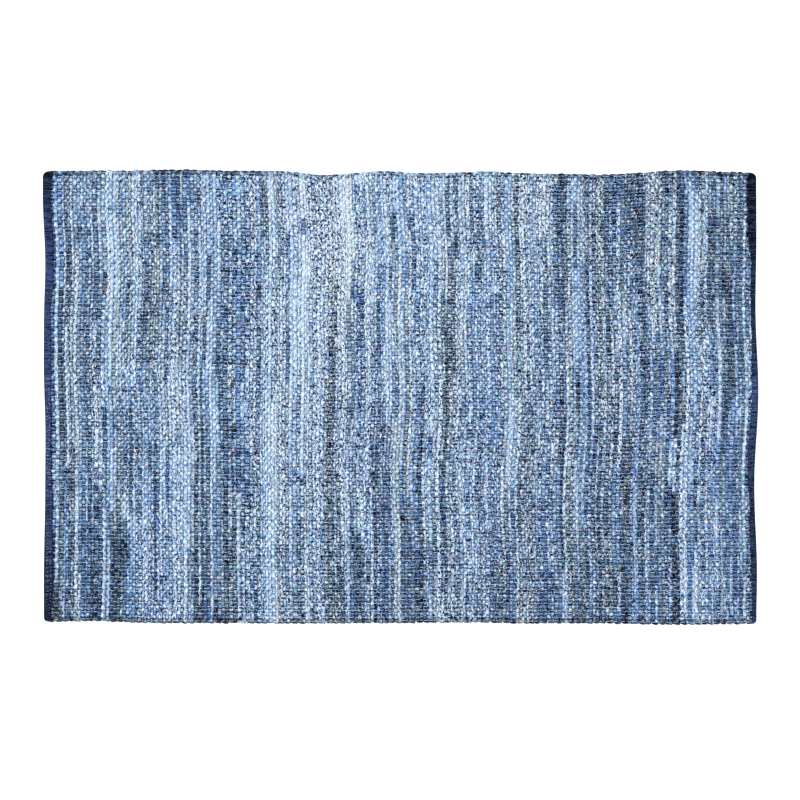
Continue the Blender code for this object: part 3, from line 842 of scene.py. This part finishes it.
def tapeHeights(draw, half, y):
    # a section's heights at every y: on the upper face the section's own, plus a cosine for each
    # rib, less exp(-(distance from the sewing line) squared) along the sewing; at both ends the
    # two inner faces close up and the whole section gets thinner
    foldZ = middle + (rugHigh / 2 - 0.25 * mm) * np.sin(foldAngles)
    lowerHigh = np.maximum(rugHigh - upperHigh[::-1], 0.05 * mm)
    height = np.concatenate([upperHigh, foldZ, lowerHigh, 0 * innerShare])
    z = np.repeat(height[None, :], len(y), axis=0)
    top = slice(0, len(upperShare))
    rib = tape["ribHigh"] * np.cos(2 * math.pi * y / tape["ribPitch"] + 1.2 * np.sin(y / 0.021))
    window = np.sin(math.pi * np.clip(upperShare, 0.17, 1))[None, :] * 0.6 + 0.4
    uneven = tape["unevenTop"] * draw.standard_normal((len(y), len(upperShare)))
    z[:, top] += rib[:, None] * window + uneven
    sewn = np.exp(-((upperShare - tape["sewnAt"]) / 0.05) ** 2)
    pulled = 0.6 + 0.4 * np.cos(2 * math.pi * y / tape["ribPitch"])
    z[:, top] -= tape["stitchLow"] * sewn[None, :] * pulled[:, None]
    closing = np.clip((abs(y) - (half - 3 * mm)) / (2.5 * mm), 0, 1)[:, None]
    wall = np.where(innerIsLow, tape["thick"], rugHigh - tape["thick"])[None, :]
    closed = np.where(innerIsLow, middle - 0.1 * mm, middle + 0.1 * mm)[None, :]
    z[:, -len(innerShare):] = wall + closing * (closed - wall)
    return middle + (z - middle) * (1 - 0.22 * closing ** 2)


def foldedTape(name, side):
    # a C-shaped section carried along Y: inward distance = corner curve + share * (reach - curve)
    # + fold * (1 - cos) round the fold, where a corner's curve is radius - sqrt(radius squared -
    # distance into the corner squared)
    draw = np.random.default_rng(tapeTones["seed"] + side)
    half, y = tapeAlong()
    corner = np.where(y < 0, tape["frontCorner"], tape["backCorner"])
    intoCorner = np.clip(abs(y) - (half - corner), 0, corner)
    curve = corner - np.sqrt(np.maximum(corner ** 2 - intoCorner ** 2, 0))
    reach = np.maximum(tapeReach(y, side), curve + 4 * mm)
    foldX = tape["fold"] * (1 - np.cos(foldAngles))
    fraction = np.concatenate([upperShare, 0 * foldX, upperShare[::-1], innerShare])
    extra = np.concatenate([0 * upperShare, foldX, 0 * upperShare, 0 * innerShare])
    inward = curve[:, None] + fraction[None, :] * (reach - curve)[:, None] + extra[None, :]
    z = tapeHeights(draw, half, y)
    acrossY = np.repeat(y[:, None], z.shape[1], axis=1)
    laidX, laidY = laid(side * (rugLength / 2 - inward), acrossY)
    points = np.stack([laidX, laidY, z], axis=2)
    if side < 0:
        # in the left tape the section runs the other way round, so that its faces still look outward
        points = points[:, ::-1]
        inward = inward[:, ::-1]
        fraction = fraction[::-1]
    sideTones = tapeTones["left" if side < 0 else "right"]
    brightness = np.interp(y / mm, tapeTones["stations"], sideTones)
    patches = tapeTones["patches"] * np.sin(y / 0.0125) * np.sin(y / 0.0371 + 1)
    ribs = tapeTones["ribs"] * draw.standard_normal(len(y))
    shades = linear(tapeTones["navy"]) * (brightness * (1 + patches + ribs))[:, None, None]
    shades = shades * (1 + tapeTones["grain"] * draw.standard_normal(points.shape[:2])[..., None])
    # painted shade along the inner edge, where the tape meets the weave
    innerEdgeShare = np.clip((fraction - 0.82) / 0.15, 0, 1)[None, :, None]
    shades = shades * (1 + innerEdgeShare * (np.array(tapeTones["innerEdgeShade"]) - 1))
    place = np.stack([inward, acrossY, points[..., 2]], axis=-1)
    return tubesFrom(name, points[None], shades[None], place[None], tapeTones["mapRun"])


shortMapColumns = 40    # short threads side by side in a bake map

stitches = {
    "pitch": 5.7 * mm,
    "half": 0.38 * mm,          # half of the thread's thickness
    "endsFree": 9 * mm,         # from the selvedge to the first stitch
    "sunk": 3.32 * mm,          # height of a stitch's ends over the rug's middle
    "rise": 0.42 * mm,          # how much higher its middle is
    "colour": (176, 190, 206),
    "columns": [0.42, 0.76],    # share of the tape's reach where each line of sewing runs
    "long": [4.2 * mm, 3.4 * mm],
    "uneven": 0.25,             # how far a stitch strays along its line, as a share of the pitch
    "offLine": 0.6 * mm,        # how far it strays from its line
    "slant": 0.45,              # how much the stitches lean, to one side and then to the other
    "unevenSlant": 0.15,
    "sides": 4,
    "flat": 0.7,                # thickness over width
    # stations in mm across the rug, and how pale the thread on each tape is there
    "stations": [-485, -420, -330, -250, -180, -100, 0, 60, 150, 250, 350, 485],
    "left": [0.1, 0.9, 1.0, 0.3, 0.9, 1.1, 0.8, 0.6, 0.3, 0.2, 0.1, 0.0],
    "right": [0.1, 0.1, 0.1, 0.1, 0.35, 0.2, 0.3, 0.2, 0.05, 0.0, 0.0, 0.0],
    "seed": 47,
}


def tapeStitches():
    # short bars of thread over both faces of both tapes: across, with a rise of sin(pi t) between
    # their ends, where they dip into the tape
    draw = np.random.default_rng(stitches["seed"])
    half = rugWidth / 2 - stitches["endsFree"]
    y = np.arange(-half, half, stitches["pitch"])
    t = np.array([0.0, 0.3, 0.7, 1.0])
    paths = []
    brightness = []
    for side in (-1, 1):
        for face in (-1, 1):
            for column, long in zip(stitches["columns"], stitches["long"]):
                at = y + stitches["uneven"] * stitches["pitch"] * draw.standard_normal(len(y))
                length = long * (0.75 + 0.5 * draw.random(len(y)))
                inward = column * tapeReach(at, side)
                inward = inward + stitches["offLine"] * draw.standard_normal(len(y))
                x = side * (rugLength / 2 - inward)[:, None] + length[:, None] * (t - 0.5)[None, :]
                slant = stitches["slant"] * np.sin(at / 0.09 + 2 * side)
                slant = slant + stitches["unevenSlant"] * draw.standard_normal(len(y))
                placeY = at[:, None] + (slant * length)[:, None] * (t - 0.5)[None, :]
                rise = stitches["sunk"] + stitches["rise"] * np.sin(math.pi * t)
                laidX, laidY = laid(x, placeY)
                z = middle + face * rise[None, :] * np.ones(x.shape)
                paths.append(np.stack([laidX, laidY, z], axis=2))
                sideTones = stitches["left" if side < 0 else "right"]
                seen = np.interp(at / mm, stitches["stations"], sideTones)
                brightness.append(seen * (0.7 + 0.6 * draw.random(len(y))) + 0.03)
    paths = np.concatenate(paths)
    brightness = np.concatenate(brightness)
    wide = np.full(paths.shape[:2], stitches["half"])
    points = carried(paths, wide, stitches["flat"] * wide, evenRing(stitches["sides"]))
    points[..., 2] = np.maximum(points[..., 2], 0.04 * mm)
    shades = linear(stitches["colour"]) * brightness[:, None, None, None] * np.ones(points.shape)
    return tubesFrom("tape_stitches", points, shades, points, len(t) - 1, shortMapColumns)


# loose threads

frays = {
    "count": 3300,
    "seed": 61,
    "half": 0.36 * mm,          # half of a thread's thickness
    "sides": 3,
    "clearOfEnds": 45 * mm,     # what the threads leave free of the rug's length
    "clearOfEdges": 12 * mm,    # and of its width
    "shortest": 4,              # mm
    "longer": 11,               # how much longer a thread can be, in mm
    "sunk": 2.75,               # height of a thread's ends over the rug's middle, in mm
    "bend": 0.9,                # radians over its length
    "onFace": 0.7,              # share of the threads that lie on the face
    "alongShare": 0.25,         # share that lies along the rug and not across it
    "darkShare": 0.12,
    "greyShare": 0.3,
    "wispHalf": 0.55 * mm,
    "wispPieces": 5,            # lengths of three steps that a long thread is made in
    "wisps": [
        # long pale threads: along, from and to across (mm), how far they curl sideways (mm)
        (-703, -98, -152, 3), (-717, -183, -238, 3), (-705, -240, -292, 2), (-690, -305, -372, 5),
        (-512, 40, -60, 2), (-343, -212, -330, 3), (-226, -280, -330, 2), (-131, 205, 140, 2),
        (-58, -290, -370, 2), (326, -48, -168, 2), (329, -328, -352, 4), (452, -305, -372, 3),
        (498, 205, 180, 4), (498, -365, -395, 4), (590, 300, 270, 3), (598, -5, -30, 4),
        (612, -395, -455, 5), (652, 445, 405, 4), (655, 30, -15, 4), (697, -412, -452, 3),
        (722, -296, -310, 6), (707, 292, 240, 4), (603, 10, -30, 5), (57, -395, -425, 4),
    ],
}


def wispPieces(at, fromY, toY, curl):
    # a long thread across the rug, which strays by curl * two sines of the share t of its length,
    # as pieces of four points that share their ends
    t = np.linspace(0, 1, frays["wispPieces"] * 3 + 1)
    x = (at + curl * np.sin(t * 7 + at) * 0.6 + curl * np.sin(t * 17 + at) * 0.25) * mm
    y = (fromY + (toY - fromY) * t) * mm
    z = middle + (3.6 + 0.4 * np.sin(t * 23)) * mm
    whole = np.stack([*wandered(x, y), z], axis=1)
    return [whole[i * 3:i * 3 + 4] for i in range(frays["wispPieces"])]


def looseThreads():
    # each thread: a start on the face, a heading, and a bend that grows with t; its height rises
    # as sin(pi t) and its ends sink back into the weave
    draw = np.random.default_rng(frays["seed"])
    count = frays["count"]
    sides = frays["sides"]
    t = np.linspace(0, 1, 4)
    startX = (draw.random(count) - 0.5) * (rugLength - frays["clearOfEnds"])
    startY = (draw.random(count) - 0.5) * (rugWidth - frays["clearOfEdges"])
    heading = math.pi / 2 + 0.55 * draw.standard_normal(count)
    heading = np.where(draw.random(count) < frays["alongShare"], heading + math.pi / 2, heading)
    length = (frays["shortest"] + frays["longer"] * draw.random(count) ** 2) * mm
    bend = draw.standard_normal(count) * frays["bend"]
    angle = heading[:, None] + bend[:, None] * t[None, :]
    x = startX[:, None] + length[:, None] * t[None, :] * np.cos(angle)
    y = startY[:, None] + length[:, None] * t[None, :] * np.sin(angle)
    face = np.where(draw.random(count) < frays["onFace"], 1, -1)
    arch = frays["sunk"] + np.sin(math.pi * t[None, :]) * (0.4 + draw.random((count, 1)))
    z = middle + face[:, None] * arch * mm
    paths = np.stack([*wandered(x, y), z], axis=2)
    long = [piece for wisp in frays["wisps"] for piece in wispPieces(*wisp)]
    paths = np.concatenate([paths, np.array(long)])
    isLong = np.arange(len(paths)) >= count
    wide = frays["half"] * (0.75 + 0.6 * draw.random((len(paths), 1))) * np.ones((1, len(t)))
    wide = np.where(isLong[:, None], frays["wispHalf"], wide)
    points = carried(paths, wide, wide, evenRing(sides, turn=math.pi / 2))
    points[..., 2] = np.clip(points[..., 2], 0.05 * mm, rugHigh + 3 * mm)
    tone = 0.72 + 0.22 * draw.random(len(paths))
    tone = np.where(draw.random(len(paths)) < frays["darkShare"], 0.1, tone)
    tone = np.where(isLong, 0.95, tone)
    dye = np.where(draw.random(len(paths)) < frays["greyShare"], 0.9, 0.1)
    shades = shadeOf(tone, dye)[:, None, None, :] * np.ones(points.shape)
    return tubesFrom("loose_threads", points, shades, points, len(t) - 1, shortMapColumns)


# materials


def fed(tree, node, inputs):
    # sets each of these inputs to its value, or links it where the value is another node's output
    for socket, value in inputs.items():
        if isinstance(value, bpy.types.NodeSocket):
            tree.links.new(value, node.inputs[socket])
        else:
            node.inputs[socket].default_value = value
    return node


def worked(tree, operation, *values):
    # one sum of a Math node, of numbers or other nodes' outputs
    made = tree.nodes.new("ShaderNodeMath")
    made.operation = operation
    return fed(tree, made, dict(enumerate(values))).outputs[0]


def vectorWorked(tree, operation, inputs):
    # the same for a Vector Math node, with its inputs by number or name
    made = tree.nodes.new("ShaderNodeVectorMath")
    made.operation = operation
    return fed(tree, made, inputs).outputs[0]


def ranged(tree, value, low=0.0, high=1.0, toLow=0.0, toHigh=1.0):
    # low to high becomes toLow to toHigh, and nothing lies outside
    made = tree.nodes.new("ShaderNodeMapRange")
    ends = {"From Min": low, "From Max": high, "To Min": toLow, "To Max": toHigh}
    return fed(tree, made, {"Value": value, **ends}).outputs["Result"]


def noise(tree, place, scale, detail, roughness=0.5):
    # smooth noise about 0.5, with scale cells to the metre
    made = tree.nodes.new("ShaderNodeTexNoise")
    inputs = {"Vector": place, "Scale": scale, "Detail": detail, "Roughness": roughness}
    return fed(tree, made, inputs).outputs["Fac"]


fibreInputs = [
    ("Place", "NodeSocketVector"),
    ("Streak Scale", "NodeSocketVector"),
    ("Grain Scale", "NodeSocketFloat"),
    ("Crease Scale", "NodeSocketFloat"),
    ("Thread Scale", "NodeSocketFloat"),
]
fibreOutputs = ["Worn", "Grain", "Crease", "Thread", "Height"]


def fibreGroup():
    # Worn: streaks that run with a strand. Grain: fine and even. Crease: the hollows between crumples,
    # which the materials darken with painted shade. Thread: thin wandering lines, where a smooth noise
    # passes through its middle.
    # Height: all of them together, for a bump
    group = bpy.data.node_groups.new("strandFibres", "ShaderNodeTree")
    for label, kind in fibreInputs:
        group.interface.new_socket(label, in_out="INPUT", socket_type=kind)
    for label in fibreOutputs:
        group.interface.new_socket(label, in_out="OUTPUT", socket_type="NodeSocketFloat")
    given = group.nodes.new("NodeGroupInput").outputs
    place = given["Place"]
    stretched = vectorWorked(group, "MULTIPLY", {0: place, 1: given["Streak Scale"]})
    streaks = noise(group, stretched, 1.0, 1.5, 0.55)
    grain = noise(group, place, given["Grain Scale"], 2.0)
    crumple = noise(group, place, given["Crease Scale"], 1.0)
    wandering = noise(group, place, given["Thread Scale"], 0.0)
    offMiddle = worked(group, "ABSOLUTE", worked(group, "SUBTRACT", wandering, 0.5))
    thread = ranged(group, offMiddle, 0.02, 0.06, 1.0, 0.0)
    height = worked(group, "MULTIPLY_ADD", grain, 0.3, streaks)
    height = worked(group, "MULTIPLY_ADD", crumple, 1.2, height)
    height = worked(group, "MULTIPLY_ADD", thread, 0.5, height)
    worn = ranged(group, streaks, 0.36, 0.64)
    crease = ranged(group, crumple, 0.34, 0.48, 1.0, 0.0)
    found = dict(zip(fibreOutputs, [worn, grain, crease, thread, height]))
    fed(group, group.nodes.new("NodeGroupOutput"), found)
    return group


fibres = fibreGroup()


def tinted(tree, colour, towards, mask, most, way="MIX"):
    # mix the colour towards a fixed one, or multiply it by that one, by mask times most
    mixed = tree.nodes.new("ShaderNodeMix")
    mixed.data_type = "RGBA"
    mixed.blend_type = way
    # a Mix node has sockets of one name for each data type: 6 and 7 are its two colours
    share = ranged(tree, mask, toHigh=most)
    return fed(tree, mixed, {"Factor": share, 6: colour, 7: (*linear(towards), 1)}).outputs[2]


def ribbed(tree, place, colour, height, pitch):
    # waves along the tape: the colour times 0.4 in their hollows to 1.5 on their tops, which is painted
    # shade and painted light, and the bump's height plus 0.8 of the wave
    ribs = tree.nodes.new("ShaderNodeTexWave")
    ribs.wave_type = "BANDS"
    ribs.bands_direction = "Y"
    scale = 2 * math.pi / 20 / pitch    # the node's own waves lie 2 pi / 20 apart at a scale of 1
    wave = fed(tree, ribs, {"Vector": place, "Scale": scale, "Distortion": 1.2, "Detail": 1.0})
    wave = wave.outputs["Fac"]
    # painted shade in the rib hollows and painted light on their tops
    shaded = ranged(tree, wave, toLow=0.4, toHigh=1.5)
    colour = vectorWorked(tree, "SCALE", {0: colour, "Scale": shaded})
    return colour, worked(tree, "MULTIPLY_ADD", wave, 0.8, height)


def clothMaterial(name, look):
    # the strand's own shade, mixed towards the pale thread where it is worn and towards the stray
    # threads, and multiplied by a dark colour in its folds and creases, which is painted shade; the
    # strand's own roughness scales the last two, so that smooth rags show less painted shade
    material = bpy.data.materials.new(name)
    material.use_nodes = True
    tree = material.node_tree
    strand = tree.nodes.new("ShaderNodeAttribute")
    strand.attribute_name = "strand"
    place = strand.outputs["Vector"]
    shade = tree.nodes.new("ShaderNodeAttribute")
    shade.attribute_name = "shade"
    colour, roughness = shade.outputs["Color"], shade.outputs["Alpha"]
    cloth = tree.nodes.new("ShaderNodeGroup")
    cloth.node_tree = fibres
    scales = {
        "Streak Scale": look["streaks"],
        "Grain Scale": look["grain"],
        "Crease Scale": look["creases"],
        "Thread Scale": look["threads"],
    }
    found = fed(tree, cloth, {"Place": place, **scales}).outputs
    isWorn = ranged(tree, found["Worn"], look["wornFrom"])
    shadedFolds = worked(tree, "MULTIPLY", ranged(tree, found["Worn"], look["foldsTo"], 0.0), roughness)
    shadedCreases = worked(tree, "MULTIPLY", found["Crease"], roughness)
    colour = tinted(tree, colour, look["pale"], isWorn, look["wornMost"])
    colour = tinted(tree, colour, look["thread"], found["Thread"], look["threadMost"])
    # painted shade: the colour is multiplied by a dark one in the folds and in the creases
    colour = tinted(tree, colour, look["paintedShade"], shadedFolds, look["foldsMost"], "MULTIPLY")
    colour = tinted(tree, colour, look["paintedShade"], shadedCreases, look["creaseMost"], "MULTIPLY")
    height = found["Height"]
    if "ribs" in look:
        colour, height = ribbed(tree, place, colour, height, look["ribs"])
    bump = tree.nodes.new("ShaderNodeBump")
    fed(tree, bump, {"Strength": look["bump"], "Distance": look["bumpHigh"], "Height": height})
    dull = ranged(tree, found["Grain"], toLow=look["rough"] - 0.08, toHigh=look["rough"] + 0.06)
    finish = {
        "Base Color": colour,
        "Roughness": dull,
        "Normal": bump.outputs["Normal"],
        "Specular IOR Level": 0.03,
        "Sheen Weight": look["sheen"],
        "Sheen Roughness": 0.6,
        "Sheen Tint": (0.3, 0.5, 1.0, 1),
    }
    fed(tree, tree.nodes["Principled BSDF"], finish)
    return material


denimLook = {
    # the four scales are in noise cells to the metre
    "streaks": (390.0, 170.0, 390.0),
    "grain": 1500.0,
    "creases": 220.0,
    "threads": 170.0,
    "pale": (206, 230, 255),
    "wornFrom": 0.58,           # where in the streaks the worn places begin
    "wornMost": 0.15,
    "thread": (224, 238, 252),
    "threadMost": 0.12,
    # painted shade in folds and creases: the colour that it multiplies by, and how much of it
    "paintedShade": (6, 32, 84),
    "foldsTo": 0.45,            # where in the streaks the folds end
    "foldsMost": 1.0,
    "creaseMost": 1.0,
    "rough": 0.88,
    "bump": 0.8,
    "bumpHigh": 1.0 * mm,
    "sheen": 0.03,
}
cordLook = dict(
    denimLook,
    streaks=(900.0, 300.0, 900.0),
    pale=(246, 246, 242),
    # a lighter painted shade in the cords' folds and creases
    paintedShade=(150, 176, 206),
    foldsMost=0.3,
    creaseMost=0.3,
    bump=0.5,
)
tapeLook = dict(
    denimLook,
    streaks=(45.0, 340.0, 300.0),
    threads=120.0,
    pale=(80, 104, 142),
    wornFrom=0.5,
    thread=(110, 124, 150),
    threadMost=0.15,
    # painted shade in the tape's folds and creases
    paintedShade=(66, 80, 140),
    foldsTo=0.7,
    foldsMost=0.95,
    creaseMost=0.2,
    ribs=3.6 * mm,
    bump=0.6,
    bumpHigh=0.35 * mm,
)

denimCloth = clothMaterial("denimStrip", denimLook)
cordCotton = clothMaterial("cottonCord", cordLook)
navyTape = clothMaterial("navyTape", tapeLook)


def finished(piece, material, slot, *stoodFor):
    # gives a piece its material, attaches it to the rug's root body, and hides the nodes that it stands
    # for, if any
    piece.data.materials.append(material)
    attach(piece, "root")
    if stoodFor:
        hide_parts(*stoodFor)
    return piece


print("laying the cords")
cordPiece = finished(cottonCords(), cordCotton, "warp_cotton")
print("fraying the threads")
threadPiece = finished(looseThreads(), cordCotton, "warp_cotton")

print("weaving the rag strip")
for bandIndex in range(weave["bands"]):
    bandPiece, bandLong = weftBand(bandIndex)
    finished(bandPiece, denimCloth, "denim_rag_weave", *(["woven_field"] if bandIndex == 0 else []))

print("sewing on the end tapes")
stitchPiece = finished(tapeStitches(), navyTape, "navy_end_tape")
for side, nodeName in ((-1, "end_tape_left"), (1, "end_tape_right")):
    tapePiece = finished(foldedTape("sewn_" + nodeName, side), navyTape, "navy_end_tape", nodeName)


# stage, light and camera

stage = {
    "floorHalf": 60.0,          # large enough for a low view
    "floorColour": (0.93, 0.93, 0.93),
    "worldLight": 0.36,
    "sunLight": 4.12,
    "sunSoft": math.radians(14),
    "sunFrom": (-0.45, 0.55, 1.7),
    "cameraHigh": 3.2,
    "frameWide": 1.7016,        # what the camera sees at the rug's top
    "aimX": -1.1 * mm,          # from the middle of the rug
    "aimY": -6.4 * mm,
    "sensor": 36.0,
    "seesTo": 100.0,
}


def floorAndLight():
    # a pale floor under the rug, an even white world, and one soft sun from the back left
    half = stage["floorHalf"]
    mesh = bpy.data.meshes.new("floor")
    corners = [(-half, -half, 0), (half, -half, 0), (half, half, 0), (-half, half, 0)]
    mesh.from_pydata(corners, [], [(0, 1, 2, 3)])
    floor = bpy.data.objects.new("floor", mesh)
    bpy.context.scene.collection.objects.link(floor)
    material = bpy.data.materials.new("paleFloor")
    material.use_nodes = True
    shader = material.node_tree.nodes["Principled BSDF"]
    shader.inputs["Base Color"].default_value = (*stage["floorColour"], 1)
    shader.inputs["Roughness"].default_value = 0.9
    mesh.materials.append(material)
    world = bpy.data.worlds.new("studio")
    world.use_nodes = True
    world.node_tree.nodes["Background"].inputs["Color"].default_value = (1, 1, 1, 1)
    world.node_tree.nodes["Background"].inputs["Strength"].default_value = stage["worldLight"]
    bpy.context.scene.world = world
    light = bpy.data.lights.new("softSun", "SUN")
    light.energy = stage["sunLight"]
    light.angle = stage["sunSoft"]
    lamp = bpy.data.objects.new("softSun", light)
    lamp.location = stage["sunFrom"]
    direction = -lamp.location
    lamp.rotation_mode = "QUATERNION"
    lamp.rotation_quaternion = direction.to_track_quat("-Z", "Y")
    bpy.context.scene.collection.objects.link(lamp)


def straightDownCamera():
    # lens = sensor * distance / width seen
    data = bpy.data.cameras.new("camera")
    camera = bpy.data.objects.new("camera", data)
    centreX = (cadLow.x + cadHigh.x) / 2
    centreY = (cadLow.y + cadHigh.y) / 2
    camera.location = (centreX + stage["aimX"], centreY + stage["aimY"], stage["cameraHigh"])
    data.sensor_width = stage["sensor"]
    data.lens = data.sensor_width * (stage["cameraHigh"] - rugHigh) / stage["frameWide"]
    data.clip_end = stage["seesTo"]
    bpy.context.scene.collection.objects.link(camera)
    bpy.context.scene.camera = camera


print("setting the stage")
floorAndLight()
straightDownCamera()
bpy.context.scene.view_settings.view_transform = "Standard"
